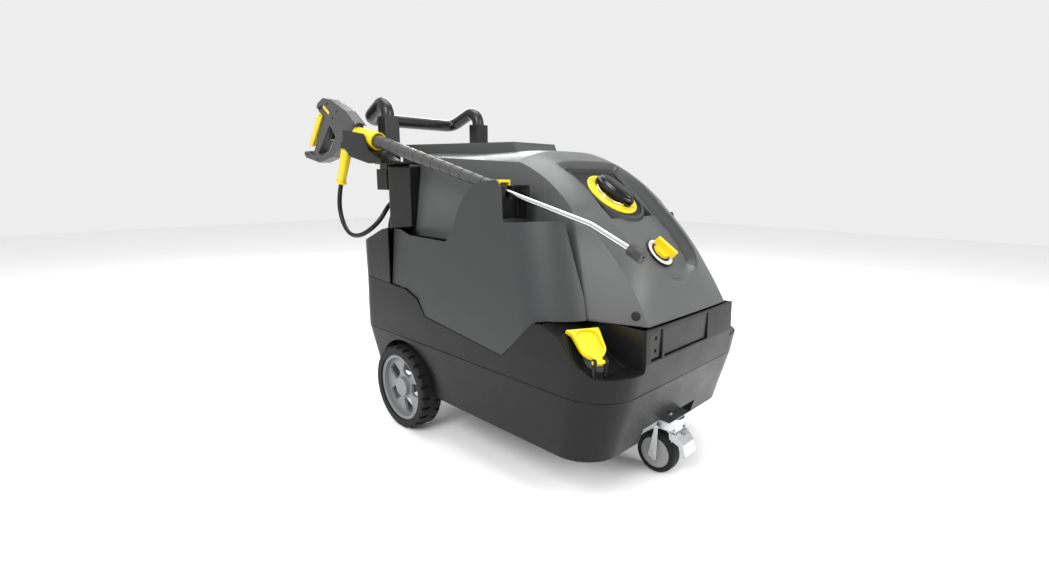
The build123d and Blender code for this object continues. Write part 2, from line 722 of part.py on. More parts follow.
HOLDER_OUTLINE = (
    (-360.0, 762.0),
    (-335.0, 748.0),
    (-324.0, 735.0),
    (-253.0, 721.0),
    (-216.0, 714.0),
    (-150.0, 714.0),
    (-150.0, 722.0),
    (-216.0, 748.0),
    (-239.0, 794.0),
    (-291.0, 801.0),
    (-355.0, 810.0),
)
with BuildPart() as lance_holder:
    add(prism(HOLDER_OUTLINE, LANCE_Y - 31.0, LANCE_Y + 31.0))
    add(rod(on_lance(-190.0), on_lance(140.0), 27.0), mode=Mode.SUBTRACT)
    add(prism([(-420.0, 824.0), (-100.0, 747.0), (-100.0, 900.0), (-420.0, 900.0)],
              LANCE_Y - 27.0, LANCE_Y + 27.0), mode=Mode.SUBTRACT)
    # Foot on the rear housing
    add(brick(-236.0, -132.0, LANCE_Y, -150.0, HOUSING_TOP + 0.5, HOUSING_TOP + 6.5))
save(lance_holder, "lance_holder")

with BuildPart() as lance_tube:
    with BuildLine() as tube_path:
        FilletPolyline(tuple(on_lance(-112.0)), tuple(bend_at), tuple(bend_at + nozzle_run * 110.0), radius=90.0)
    with BuildSketch(lance_plane(-112.0)):
        Circle(TUBE_R)
    sweep()
save(lance_tube, "lance_tube")

with BuildPart() as lance_grip:
    add(rod(on_lance(24.0), on_lance(GRIP_END), 18.0, 12.0))
    for ring in range(12):
        at = 60.0 + 38.0 * ring
        radius = 18.0 - 6.0 * (at - 24.0) / (GRIP_END - 24.0)
        with BuildSketch(lance_plane(at)):
            Circle(radius + 2.0)
            Circle(radius - 1.2, mode=Mode.SUBTRACT)
        extrude(amount=5.0, mode=Mode.SUBTRACT)
    add(rod(on_lance(0.0), on_lance(600.0), TUBE_R + 0.05), mode=Mode.SUBTRACT)
save(lance_grip, "lance_grip")

with BuildPart() as lance_collar:
    add(rod(on_lance(COLLAR_FROM), on_lance(COLLAR_TO), 19.0, 25.0))
    add(rod(on_lance(COLLAR_TO - 22.0), on_lance(COLLAR_TO + 1.0), 21.0), mode=Mode.SUBTRACT)
    add(rod(on_lance(-200.0), on_lance(100.0), TUBE_R + 0.05), mode=Mode.SUBTRACT)
save(lance_collar, "lance_collar")

nozzle_from = bend_at + nozzle_run * 97.0
with BuildPart() as lance_nozzle:
    with BuildSketch(Plane(origin=nozzle_from, x_dir=(0, 1, 0), z_dir=nozzle_run)):
        RegularPolygon(12.0, 6)
    extrude(amount=14.0)
    add(rod(nozzle_from + nozzle_run * 14.0, nozzle_from + nozzle_run * 32.0, 12.0, 13.5))
    add(rod(nozzle_from - nozzle_run * 5.0, nozzle_from + nozzle_run * 13.05, TUBE_R + 0.05),
        mode=Mode.SUBTRACT)
    add(rod(nozzle_from, nozzle_from + nozzle_run * 50.0, 3.0), mode=Mode.SUBTRACT)
save(lance_nozzle, "lance_nozzle")
print("nozzle tip", nozzle_from + nozzle_run * 32.0, "axis", nozzle_run)

# ---------------------------------------------------------------- trigger gun
GUN_OUTLINE = (
    (-541.0, 889.0), (-534.0, 899.0), (-495.0, 912.0), (-450.0, 904.0), (-357.0, 865.0), (-300.0, 822.0),
    (-326.0, 800.0), (-395.0, 776.0), (-400.0, 764.0), (-462.0, 735.0), (-548.0, 720.0), (-644.0, 738.0),
    (-657.0, 750.0), (-648.0, 757.0), (-590.0, 758.0), (-506.0, 857.0), (-538.0, 877.0),
)
FINGER_OPENING = (
    (-452.0, 822.0), (-428.0, 795.0), (-470.0, 757.0), (-535.0, 741.0), (-552.0, 751.0), (-463.0, 830.0),
)
GUN_HALF = 17.0
GRIP_HALF = 12.0
TRIGGER_PIVOT = (-520.0, LANCE_Y, 862.0)
CATCH_PIVOT = (-452.0, LANCE_Y, 838.0)
TRIGGER_OUTLINE = ((-541.0, 862.0), (-523.0, 872.0), (-509.0, 860.0), (-594.0, 772.0), (-617.0, 774.1))
TRIGGER_INSIDE = ((-560.0, 900.0), (-505.0, 900.0), (-505.0, 740.0), (-610.0, 740.0), (-619.6, 767.6),
                  (-537.4, 861.4))
SLEEVE_RUN = Vector(-0.451, 0, -0.893).normalized()
SWIVEL_FROM = Vector(-382.0, LANCE_Y, 780.0)


def across(point, half, radius):
    """Round bar along Y through a point, this far to both sides."""
    middle = Vector(*point)
    return rod(middle - Vector(0, half, 0), middle + Vector(0, half, 0), radius)


with BuildPart() as gun_body:
    with BuildSketch(on_side(LANCE_Y)) as gun_side:
        Polygon(*GUN_OUTLINE)
        Polygon(*FINGER_OPENING, mode=Mode.SUBTRACT)
    extrude(amount=GUN_HALF, both=True)
    # Narrower back of the grip, where the lever closes over it
    for side in (-1, 1):
        flank = LANCE_Y + side * (GRIP_HALF + GUN_HALF + 5.0) / 2
        strip = ((-545.0, 883.0), (-500.0, 893.0), (-490.0, 850.0), (-575.0, 742.0), (-610.0, 752.0),
                 (-540.0, 866.0))
        half = (GUN_HALF + 5.0 - GRIP_HALF) / 2
        add(prism(strip, flank - half, flank + half), mode=Mode.SUBTRACT)
    add(across(TRIGGER_PIVOT, GRIP_HALF, 8.0))
    add(across(TRIGGER_PIVOT, GUN_HALF, 3.0))
    # Seat of the safety catch with its pin
    add(across(CATCH_PIVOT, 8.0, 13.0), mode=Mode.SUBTRACT)
    add(prism(((-468.0, 838.0), (-440.0, 838.0), (-436.0, 800.0), (-480.0, 800.0)), LANCE_Y - 8.0, LANCE_Y + 8.0),
        mode=Mode.SUBTRACT)
    add(across(CATCH_PIVOT, 8.5, 2.5))
    # Front socket for the collar, the lance and the hose swivel
    add(rod(on_lance(COLLAR_FROM - 1.0), on_lance(60.0), 30.0), mode=Mode.SUBTRACT)
    add(rod(on_lance(-112.0), on_lance(0.0), TUBE_R + 0.05), mode=Mode.SUBTRACT)
    add(rod(SWIVEL_FROM, SWIVEL_FROM + SLEEVE_RUN * 40.0, 11.05), mode=Mode.SUBTRACT)
    add(rod(SWIVEL_FROM + SLEEVE_RUN * 25.0, SWIVEL_FROM + SLEEVE_RUN * 70.0, 18.5), mode=Mode.SUBTRACT)
save(gun_body, "gun_body")

with BuildPart() as gun_trigger:
    add(prism(TRIGGER_OUTLINE, LANCE_Y - GUN_HALF, LANCE_Y + GUN_HALF))
    add(prism(TRIGGER_INSIDE, LANCE_Y - 13.0, LANCE_Y + 13.0), mode=Mode.SUBTRACT)
    add(across(TRIGGER_PIVOT, 30.0, 3.05), mode=Mode.SUBTRACT)
save(gun_trigger, "gun_trigger")

with BuildPart() as gun_catch:
    add(prism(((-457.0, 840.0), (-447.0, 834.0), (-476.0, 790.0), (-494.0, 788.0), (-488.0, 798.0)),
              LANCE_Y - 7.5, LANCE_Y + 7.5))
    add(across(CATCH_PIVOT, 7.5, 6.5))
    add(across(CATCH_PIVOT, 9.0, 2.55), mode=Mode.SUBTRACT)
save(gun_catch, "gun_catch")

sleeve_from = SWIVEL_FROM + SLEEVE_RUN * 26.0
sleeve_to = sleeve_from + SLEEVE_RUN * 102.0
with BuildPart() as hose_swivel:
    add(rod(SWIVEL_FROM, sleeve_from, 11.0))
save(hose_swivel, "hose_swivel")
with BuildPart() as hose_sleeve:
    add(rod(sleeve_from, sleeve_to, 17.0, 13.0))
    add(rod(sleeve_to, sleeve_to + SLEEVE_RUN * 8.0, 16.0))
save(hose_sleeve, "hose_sleeve")
hose_start = sleeve_to + SLEEVE_RUN * 8.0
print("hose start", hose_start)


# ---------------------------------------------------------------- high-pressure hose
def fillet_radii(points):
    """Radius of each bend from the length of its shorter run and the angle it turns through."""
    radii = []
    for before, corner, after in zip(points, points[1:], points[2:]):
        first = Vector(*corner) - Vector(*before)
        second = Vector(*after) - Vector(*corner)
        turn = first.get_angle(second)
        radii.append(0.45 * min(first.length, second.length) / tan(radians(turn / 2)))
    return radii


def hose_run(points, name):
    """Round hose along a bent path; prints its bend radii and checks its volume."""
    radii = fillet_radii(points)
    with BuildPart() as hose:
        with BuildLine() as path:
            FilletPolyline(*points, radius=radii)
        with BuildSketch(Plane(origin=path.line @ 0, z_dir=path.line % 0)):
            Circle(HOSE_D / 2)
        sweep()
    length = sum(edge.length for edge in path.line.edges())
    print(name, "length", round(length, 1), "radii", [round(r, 1) for r in radii],
          "volume ratio", round(hose.part.volume / (pi * (HOSE_D / 2) ** 2 * length), 4))
    return hose


coil_x, coil_y, coil_z = COIL_CENTRE
HOSE_POINTS = (
    tuple(hose_start),
    tuple(hose_start + SLEEVE_RUN * 60.0),
    (-455.8, -245.0, 536.6),
    (-404.5, -245.0, 495.1),
    (-333.1, -239.2, 502.4),
    (-289.8, -204.1, 548.0),
    (-301.2, -158.5, 607.7),
    (-317.0, -36.5, 647.5),
)
TAIL_POINTS = (
    (-317.0, 109.6, 534.3),
    (-297.0, 115.0, 482.0),
    (-290.0, HOSE_PORT_Y, 414.0),
    (-290.0, HOSE_PORT_Y, 366.0),
)
save(hose_run(HOSE_POINTS, "pressure_hose"), "pressure_hose")
save(hose_run(TAIL_POINTS, "hose_tail"), "hose_tail")

coil_half = COIL_COLUMNS * HOSE_D / 2
coil_deep = COIL_LAYERS * HOSE_D / 2
with BuildPart() as hose_coil:
    with BuildSketch(Plane(origin=COIL_CENTRE, x_dir=(1, 0, 0), z_dir=(0, -1, 0))):
        with Locations((0, COIL_R)):
            RectangleRounded(2 * coil_half, 2 * coil_deep, 6.5)
    revolve(axis=Axis(COIL_CENTRE, (1, 0, 0)))
save(hose_coil, "hose_coil")
turns = 10000.0 - 532.0 - 182.0
print("turns in the coil", round(turns / (2 * pi * COIL_R), 2))

hook_z = coil_z + COIL_R - coil_deep - 9.0
with BuildPart() as hose_hook:
    add(rod((REAR_X - 0.5, coil_y, hook_z), (coil_x - coil_half - 16.0, coil_y, hook_z), 8.0))
    add(rod((coil_x - coil_half - 10.0, coil_y, hook_z), (coil_x - coil_half - 16.0, coil_y, hook_z), 16.0))
    add(brick(REAR_X - 4.5, REAR_X - 0.5, coil_y - 26.0, coil_y + 26.0, hook_z - 40.0, hook_z + 26.0))
save(hose_hook, "hose_hook")

with BuildPart() as pressure_outlet:
    add(rod((REAR_X + 14.0, HOSE_PORT_Y, PORT_Z), (-290.0, HOSE_PORT_Y, PORT_Z), 11.9))
    add(rod((-290.0, HOSE_PORT_Y, PORT_Z - 12.0), (-290.0, HOSE_PORT_Y, 366.0), 11.0))
    with BuildSketch(Plane(origin=(REAR_X - 1.0, HOSE_PORT_Y, PORT_Z), x_dir=(0, 1, 0), z_dir=(-1, 0, 0))):
        RegularPolygon(16.0, 6)
    extrude(amount=8.0)
save(pressure_outlet, "pressure_outlet")

with BuildPart() as water_inlet:
    add(rod((REAR_X + 14.0, WATER_PORT_Y, PORT_Z), (REAR_X - 36.0, WATER_PORT_Y, PORT_Z), 13.2))
    with BuildSketch(Plane(origin=(REAR_X - 1.0, WATER_PORT_Y, PORT_Z), x_dir=(0, 1, 0), z_dir=(-1, 0, 0))):
        RegularPolygon(19.0, 6)
    extrude(amount=8.0)
    add(rod((REAR_X + 20.0, WATER_PORT_Y, PORT_Z), (REAR_X - 40.0, WATER_PORT_Y, PORT_Z), 8.0),
        mode=Mode.SUBTRACT)
save(water_inlet, "water_inlet")

with BuildPart() as cable_gland:
    add(rod((REAR_X + 12.0, CABLE_PORT_Y, PORT_Z), (REAR_X - 24.0, CABLE_PORT_Y, PORT_Z), 9.9))
    with BuildSketch(Plane(origin=(REAR_X - 1.0, CABLE_PORT_Y, PORT_Z), x_dir=(0, 1, 0), z_dir=(-1, 0, 0))):
        RegularPolygon(14.0, 6)
    extrude(amount=9.0)
    add(rod((REAR_X + 20.0, CABLE_PORT_Y, PORT_Z), (REAR_X - 40.0, CABLE_PORT_Y, PORT_Z), 6.0),
        mode=Mode.SUBTRACT)
save(cable_gland, "cable_gland")

# ---------------------------------------------------------------- rear wheels
WHEEL_Y = WHEEL_OUT_Y - WHEEL_WIDTH / 2
LUGS = 24
SPOKES = 5
with BuildPart() as tyre:
    with BuildSketch(Plane.XZ) as tyre_face:
        Circle(WHEEL_R)
        Circle(RIM_R, mode=Mode.SUBTRACT)
    extrude(amount=WHEEL_WIDTH / 2, both=True)
    fillet(tyre.edges().filter_by(GeomType.CIRCLE).group_by(SortBy.RADIUS)[-1], 7.0)
    for row_y in (-20.0, 20.0):
        turned = 0.0 if row_y < 0 else 180.0 / LUGS
        with BuildSketch(Plane.XZ.offset(-row_y)):
            with PolarLocations(WHEEL_R + 1.0, LUGS, start_angle=turned):
                Rectangle(13.0, 9.0)
        extrude(amount=11.5, both=True, mode=Mode.SUBTRACT)

with BuildPart() as rim:
    with BuildSketch(Plane.XZ):
        Circle(RIM_R)
        Circle(RIM_R - 10.0, mode=Mode.SUBTRACT)
    extrude(amount=26.0, both=True)
    with BuildSketch(Plane.XZ.offset(4.0)):
        Circle(RIM_R - 8.0)
        with PolarLocations(0, SPOKES):
            with Locations((55.0, 0)):
                RectangleRounded(42.0, 36.0, 10.0, mode=Mode.SUBTRACT)
    extrude(amount=8.0)
    with BuildSketch(Plane.XZ.offset(-20.0)):
        Circle(26.0)
    extrude(amount=44.0)
    fillet(rim.faces().sort_by(Axis.Y)[0].edges(), 1.5)
    with BuildSketch(Plane.XZ.offset(-40.0)):
        Circle(AXLE_R + 0.06)
    extrude(amount=58.0, mode=Mode.SUBTRACT)

for side_name, side in (("right", -1), ("left", 1)):
    for piece, label in ((tyre, "tyre"), (rim, "rim")):
        turned = piece.part if side < 0 else mirror(piece.part, about=Plane.XZ)
        with BuildPart() as wheel_piece:
            with Locations((WHEEL_X, side * WHEEL_Y, WHEEL_R)):
                add(turned)
        save(wheel_piece, f"{label}_{side_name}")

with BuildPart() as wheel_axle:
    add(across((WHEEL_X, 0, WHEEL_R), WHEEL_Y + 17.0, AXLE_R))
    # Brackets that carry the axle under the chassis floor
    for y in (-205.0, 205.0):
        add(brick(WHEEL_X - 17.0, WHEEL_X + 17.0, y - 8.0, y + 8.0, 96.0, FLOOR_Z + 14.0))
        add(brick(WHEEL_X - 70.0, WHEEL_X + 70.0, y - 14.0, y + 14.0, FLOOR_Z - 5.0, FLOOR_Z - 0.5))
    for side in (-1, 1):
        add(across((WHEEL_X, side * (WHEEL_Y - 27.0), WHEEL_R), 3.0, 18.0))
save(wheel_axle, "wheel_axle")

# ---------------------------------------------------------------- front caster
WHEEL_AT = (CASTER_X - CASTER_TRAIL, CASTER_Y, CASTER_R)
RECESS_ROOF = FLOOR_Z + 34.0
with BuildPart() as caster_mount:
    add(brick(CASTER_X - 60.0, CASTER_X + 24.0, CASTER_Y - 46.0, CASTER_Y + 46.0, 148.0, RECESS_ROOF - 0.3))
    add(rod((CASTER_X, CASTER_Y, 136.0), (CASTER_X, CASTER_Y, 150.0), 31.0))
    add(rod((CASTER_X, CASTER_Y, 120.0), (CASTER_X, CASTER_Y, 160.0), 8.06), mode=Mode.SUBTRACT)
save(caster_mount, "caster_mount")

FORK_SIDE = (
    (CASTER_X - 26.0, 124.0),
    (CASTER_X + 28.0, 124.0),
    (CASTER_X + 22.0, 100.0),
    (CASTER_X - 8.0, 44.0),
    (CASTER_X - 22.0, 34.0),
    (CASTER_X - 40.0, 42.0),
)
with BuildPart() as caster_fork:
    add(rod((CASTER_X, CASTER_Y, 122.0), (CASTER_X, CASTER_Y, 135.4), 29.0))
    add(rod((CASTER_X, CASTER_Y, 122.0), (CASTER_X, CASTER_Y, 146.0), 8.0))
    add(prism(FORK_SIDE, CASTER_Y - 23.0, CASTER_Y + 23.0))
    add(brick(400.0, 700.0, CASTER_Y - 20.0, CASTER_Y + 20.0, 0.0, 120.0), mode=Mode.SUBTRACT)
    add(rod((CASTER_X, CASTER_Y, 40.0), (CASTER_X, CASTER_Y, 119.0), 29.0), mode=Mode.SUBTRACT)
    add(across(WHEEL_AT, 25.0, 5.0))
    # Pin of the brake pedal
    add(across((CASTER_X + 20.0, CASTER_Y, 110.0), 26.5, 3.0))
save(caster_fork, "caster_fork")

with BuildPart() as caster_tyre:
    add(across(WHEEL_AT, CASTER_WIDTH / 2, CASTER_R))
    fillet(caster_tyre.edges().filter_by(GeomType.CIRCLE), 7.0)
    add(across(WHEEL_AT, CASTER_WIDTH, CASTER_R - 13.0), mode=Mode.SUBTRACT)
save(caster_tyre, "caster_tyre")
with BuildPart() as caster_hub:
    add(across(WHEEL_AT, CASTER_WIDTH / 2 - 1.0, CASTER_R - 13.0))
    add(across(WHEEL_AT, CASTER_WIDTH / 2 + 1.5, 16.0))
    add(across(WHEEL_AT, 30.0, 5.06), mode=Mode.SUBTRACT)
save(caster_hub, "caster_hub")

PEDAL_OUTLINE = (
    (CASTER_X + 12.0, 118.0),
    (CASTER_X + 14.0, 102.0),
    (CASTER_X + 40.0, 92.0),
    (CASTER_X + 53.0, 70.0),
    (CASTER_X + 56.5, 72.0),
    (CASTER_X + 48.0, 98.0),
    (CASTER_X + 30.0, 117.0),
)
with BuildPart() as brake_pedal:
    add(prism(PEDAL_OUTLINE, CASTER_Y - 26.0, CASTER_Y + 26.0))
    add(brick(CASTER_X - 10.0, CASTER_X + 36.0, CASTER_Y - 23.5, CASTER_Y + 23.5, 60.0, 130.0),
        mode=Mode.SUBTRACT)
    add(across((CASTER_X + 20.0, CASTER_Y, 110.0), 40.0, 3.06), mode=Mode.SUBTRACT)
save(brake_pedal, "brake_pedal")

# ---------------------------------------------------------------- tanks and machinery inside
clear_wells = wheel_wells(extra=WALL + 2.0)
clear_body = body_envelope(inset=WALL + 2.0, raised=WALL + 2.0)
for side_name, side in (("fuel", 1), ("detergent", -1)):
    neck_y = side * NECK_AT[1]
    y_low, y_high = sorted((side * 134.0, side * 300.0))
    with BuildPart() as tank:
        add(brick(110.0, 596.0, y_low, y_high, 110.0, 250.0))
        add(clear_body, mode=Mode.INTERSECT)
        with Locations((NECK_AT[0], neck_y, 240.0)):
            Cylinder(NECK_R, 96.0, align=(Align.CENTER, Align.CENTER, Align.MIN))
        add(brick(114.0, 560.0, y_low + 4.0, y_high - 24.0, 128.0, 246.0), mode=Mode.SUBTRACT)
        with Locations((NECK_AT[0], neck_y, 200.0)):
            Cylinder(NECK_R - 3.0, 160.0, align=(Align.CENTER, Align.CENTER, Align.MIN),
                     mode=Mode.SUBTRACT)
    save(tank, f"{side_name}_tank")

with BuildPart() as deck_plate:
    add(brick(-232.0, 530.0, -290.0, 290.0, 258.0, 261.0))
    add(wheel_wells(extra=WALL + 2.0), mode=Mode.SUBTRACT)
    add(clear_body, mode=Mode.INTERSECT)
save(deck_plate, "deck_plate")

BOILER_AT = (26.0, 0.0)
with BuildPart() as boiler:
    with Locations((*BOILER_AT, 262.0)):
        Cylinder(134.0, 338.0, align=(Align.CENTER, Align.CENTER, Align.MIN))
    fillet(boiler.edges().filter_by(GeomType.CIRCLE).group_by(Axis.Z)[-1], 14.0)
    with Locations((*BOILER_AT, 266.0)):
        Cylinder(130.0, 320.0, align=(Align.CENTER, Align.CENTER, Align.MIN), mode=Mode.SUBTRACT)
save(boiler, "boiler")

with BuildPart() as heating_coil:
    for turn in range(14):
        with Locations((*BOILER_AT, 284.0 + 20.0 * turn)):
            Torus(108.0, 8.0)
    for x in (-104.0, 104.0):
        with Locations((BOILER_AT[0] + x, 0, 266.5)):
            Box(10.0, 16.0, 300.0, align=(Align.CENTER, Align.CENTER, Align.MIN))
save(heating_coil, "heating_coil")

with BuildPart() as burner_blower:
    add(rod((120.0, -34.0, 662.0), (120.0, 34.0, 662.0), 52.0))
    add(brick(62.0, 132.0, -24.0, 24.0, 600.5, 640.0))
save(burner_blower, "burner_blower")

with BuildPart() as motor:
    add(rod((190.0, 0.0, 346.0), (372.0, 0.0, 346.0), 74.0))
    for fin in range(12):
        with BuildSketch(Plane.YZ.offset(206.0 + 13.0 * fin)):
            with Locations((0, 346.0)):
                Circle(76.0)
                Circle(68.0, mode=Mode.SUBTRACT)
        extrude(amount=6.0, mode=Mode.SUBTRACT)
    add(brick(200.0, 360.0, -60.0, 60.0, 261.5, 290.0))
save(motor, "motor")

with BuildPart() as pump:
    add(rod((372.5, 0.0, 346.0), (420.0, 0.0, 346.0), 58.0))
    add(brick(420.0, 500.0, -52.0, 52.0, 300.0, 392.0))
    for y in (-30.0, 0.0, 30.0):
        add(rod((460.0, y, 392.0), (460.0, y, 404.0), 12.0))
save(pump, "pump")

# Screws at the lower front corners of the bonnet, and one on each shoulder
with BuildPart() as body_screws:
    for side in (-1, 1):
        face = corner_plane(side, 0.0)
        foot = face.location.position + Vector(-26.0, side * 10.4, 22.0)
        local = face.to_local_coords(foot)
        with BuildSketch(face.offset(0.3)):
            with Locations((local.X, local.Y)):
                Circle(9.0)
        extrude(amount=3.0)
save(body_screws, "body_screws")
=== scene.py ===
"""Looks of the hot-water high-pressure washer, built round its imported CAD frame. Metres, +X to the caster, +Z up."""

import math

import bmesh
import bpy
from mathutils import Matrix, Vector


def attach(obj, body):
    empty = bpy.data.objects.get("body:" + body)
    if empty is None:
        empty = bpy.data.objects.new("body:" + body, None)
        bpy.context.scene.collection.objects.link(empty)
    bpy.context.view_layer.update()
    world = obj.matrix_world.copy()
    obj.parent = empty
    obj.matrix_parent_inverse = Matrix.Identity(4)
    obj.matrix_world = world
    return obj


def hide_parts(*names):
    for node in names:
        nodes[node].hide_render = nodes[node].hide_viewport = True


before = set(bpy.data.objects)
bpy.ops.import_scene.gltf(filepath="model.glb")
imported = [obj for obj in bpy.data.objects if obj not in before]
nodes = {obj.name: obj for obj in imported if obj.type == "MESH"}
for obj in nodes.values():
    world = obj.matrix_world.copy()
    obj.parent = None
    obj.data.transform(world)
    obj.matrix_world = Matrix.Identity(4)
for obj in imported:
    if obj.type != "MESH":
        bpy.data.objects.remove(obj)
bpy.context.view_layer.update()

# ---------------------------------------------------------------- camera
CAMERA_AT = (1.1748, -1.0610, 0.6812)
CAMERA_TURN = 44.31          # degrees round Z
CAMERA_DOWN = 12.77          # degrees below the horizontal
CAMERA_ROLL = 0.51
LENS, SENSOR = 18.375, 36.0  # mm
SHIFT_X, SHIFT_Y = -0.0034, 0.0131
NEAREST = 0.01

camera = bpy.data.objects.new("camera", bpy.data.cameras.new("camera"))
bpy.context.collection.objects.link(camera)
camera.data.sensor_width = SENSOR
camera.data.lens = LENS
camera.data.shift_x = SHIFT_X
camera.data.shift_y = SHIFT_Y
camera.data.clip_start = NEAREST
turn = Matrix.Rotation(math.radians(CAMERA_TURN), 4, "Z")
tilt = Matrix.Rotation(math.radians(90.0 - CAMERA_DOWN), 4, "X")
roll = Matrix.Rotation(math.radians(CAMERA_ROLL), 4, "Z")
camera.matrix_world = Matrix.Translation(CAMERA_AT) @ turn @ tilt @ roll
bpy.context.scene.camera = camera

# ---------------------------------------------------------------- hose
HOSE_D = 0.014
HOSE_FROM = Vector((-0.44331, -0.245, 0.658604))
SLEEVE_RUN = Vector((-0.4508, 0.0, -0.8926))
STRAIGHT_OUT = 0.06                        # straight run out of the sleeve
HOSE_LOOP = (                              # control points of the loop under the gun, up to the winding
    (-0.4558, -0.245, 0.5366), (-0.4045, -0.245, 0.4951), (-0.3331, -0.2392, 0.5024),
    (-0.2898, -0.2041, 0.5480), (-0.3012, -0.1585, 0.6077), (-0.3170, -0.0365, 0.6475),
)
HOSE_TAIL = (                              # from the winding down to the outlet
    (-0.317, 0.1096, 0.5343), (-0.297, 0.115, 0.482), (-0.290, 0.160, 0.414), (-0.290, 0.160, 0.366),
)
COIL_X = (-0.317, -0.331, -0.345)          # columns of the winding, the one by the wall first
LAST_COLUMN = len(COIL_X) - 1
COIL_LAYER_R = (0.153, 0.139, 0.125, 0.111)
COIL_Y, COIL_Z = 0.004, 0.500
COIL_FROM = 106.0                          # degrees from +Y to +Z, where the hose meets the winding
LAYER_ENDS = (2.244, 5.244, 8.244, 11.244)  # turns wound when each layer is full
POINTS_PER_TURN = 16
STEP_OVER = 0.12                           # part of a turn in which the hose moves over or down
# Distance from a control point of the spline to the circle that it draws
CONTROL_OUT = 1.0 / (0.75 + 0.25 * math.cos(math.tau / POINTS_PER_TURN))


def winding_place(turns):
    """Column and radius of the winding after this many turns."""
    layer = sum(turns > end for end in LAYER_ENDS[:-1])
    started = (0.0, *LAYER_ENDS)[layer]
    columns = COIL_X if layer % 2 == 0 else COIL_X[::-1]
    wound = turns - started
    column = min(int(wound), LAST_COLUMN)
    x = columns[column]
    ahead = wound - column - (1.0 - STEP_OVER)
    if ahead > 0 and column < LAST_COLUMN and turns < LAYER_ENDS[layer]:
        x += (columns[column + 1] - x) * ahead / STEP_OVER
    radius = COIL_LAYER_R[layer]
    if layer and wound < STEP_OVER:
        radius += (COIL_LAYER_R[layer - 1] - radius) * (1.0 - wound / STEP_OVER)
    return x, radius


hose_points = [HOSE_FROM, HOSE_FROM + SLEEVE_RUN * STRAIGHT_OUT, *HOSE_LOOP]
steps = round(LAYER_ENDS[-1] * POINTS_PER_TURN)
for step in range(1, steps):
    turns = LAYER_ENDS[-1] * step / steps
    x, radius = winding_place(turns)
    angle = math.radians(COIL_FROM - 360.0 * turns)
    out = radius * CONTROL_OUT
    hose_points.append((x, COIL_Y + out * math.cos(angle), COIL_Z + out * math.sin(angle)))
hose_points += HOSE_TAIL
hose_curve = bpy.data.curves.new("hose", "CURVE")
hose_curve.dimensions = "3D"
hose_curve.bevel_depth = 1.0               # times the radius of each point
hose_curve.bevel_resolution = 5
hose_curve.resolution_u = 5
hose_curve.use_fill_caps = True
line = hose_curve.splines.new("NURBS")
line.points.add(len(hose_points) - 1)
for point, place in zip(line.points, hose_points):
    point.co = (*place, 1.0)
    point.radius = HOSE_D / 2
line.order_u = 3
line.use_endpoint_u = True
hose = bpy.data.objects.new("hose", hose_curve)
bpy.context.collection.objects.link(hose)
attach(hose, "body")
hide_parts("pressure_hose", "hose_tail", "hose_coil")


# ---------------------------------------------------------------- materials
BEVEL_SAMPLES = 4
GRAIN_DETAIL, GRAIN_DEPTH = 3.0, 0.0006
BLOTCH_SIZE, BLOTCH_DETAIL = 14.0, 5.0
BLOTCH_FROM, BLOTCH_TO = 0.3, 0.7          # part of the noise's range that the blotches use
SMOOTHEST, ROUGHEST = 0.03, 1.0


def material(name, colour, rough, metallic=0.0, grain=0.0, grain_size=900.0, bevel=0.0015, blotch=0.0, specular=0.5):
    """Procedural surface: one colour, a fine grain, uneven gloss and softly rounded edges."""
    made = bpy.data.materials.new(name)
    made.use_nodes = True
    tree = made.node_tree
    shader = tree.nodes["Principled BSDF"]
    shader.inputs["Base Color"].default_value = (*colour, 1.0)
    shader.inputs["Roughness"].default_value = rough
    shader.inputs["Metallic"].default_value = metallic
    shader.inputs["Specular IOR Level"].default_value = specular
    where = tree.nodes.new("ShaderNodeTexCoord")
    rounded = tree.nodes.new("ShaderNodeBevel")
    rounded.samples = BEVEL_SAMPLES
    rounded.inputs["Radius"].default_value = bevel
    normal = rounded.outputs["Normal"]
    if grain:
        noise = tree.nodes.new("ShaderNodeTexNoise")
        noise.inputs["Scale"].default_value = grain_size
        noise.inputs["Detail"].default_value = GRAIN_DETAIL
        tree.links.new(where.outputs["Object"], noise.inputs["Vector"])
        bump = tree.nodes.new("ShaderNodeBump")
        bump.inputs["Strength"].default_value = grain
        bump.inputs["Distance"].default_value = GRAIN_DEPTH
        tree.links.new(noise.outputs["Fac"], bump.inputs["Height"])
        tree.links.new(normal, bump.inputs["Normal"])
        normal = bump.outputs["Normal"]
    tree.links.new(normal, shader.inputs["Normal"])
    if blotch:
        cloud = tree.nodes.new("ShaderNodeTexNoise")
        cloud.inputs["Scale"].default_value = BLOTCH_SIZE
        cloud.inputs["Detail"].default_value = BLOTCH_DETAIL
        tree.links.new(where.outputs["Object"], cloud.inputs["Vector"])
        spread = tree.nodes.new("ShaderNodeMapRange")
        spread.inputs["From Min"].default_value = BLOTCH_FROM
        spread.inputs["From Max"].default_value = BLOTCH_TO
        spread.inputs["To Min"].default_value = max(SMOOTHEST, rough - blotch)
        spread.inputs["To Max"].default_value = min(ROUGHEST, rough + blotch)
        tree.links.new(cloud.outputs["Fac"], spread.inputs["Value"])
        tree.links.new(spread.outputs["Result"], shader.inputs["Roughness"])
    return made


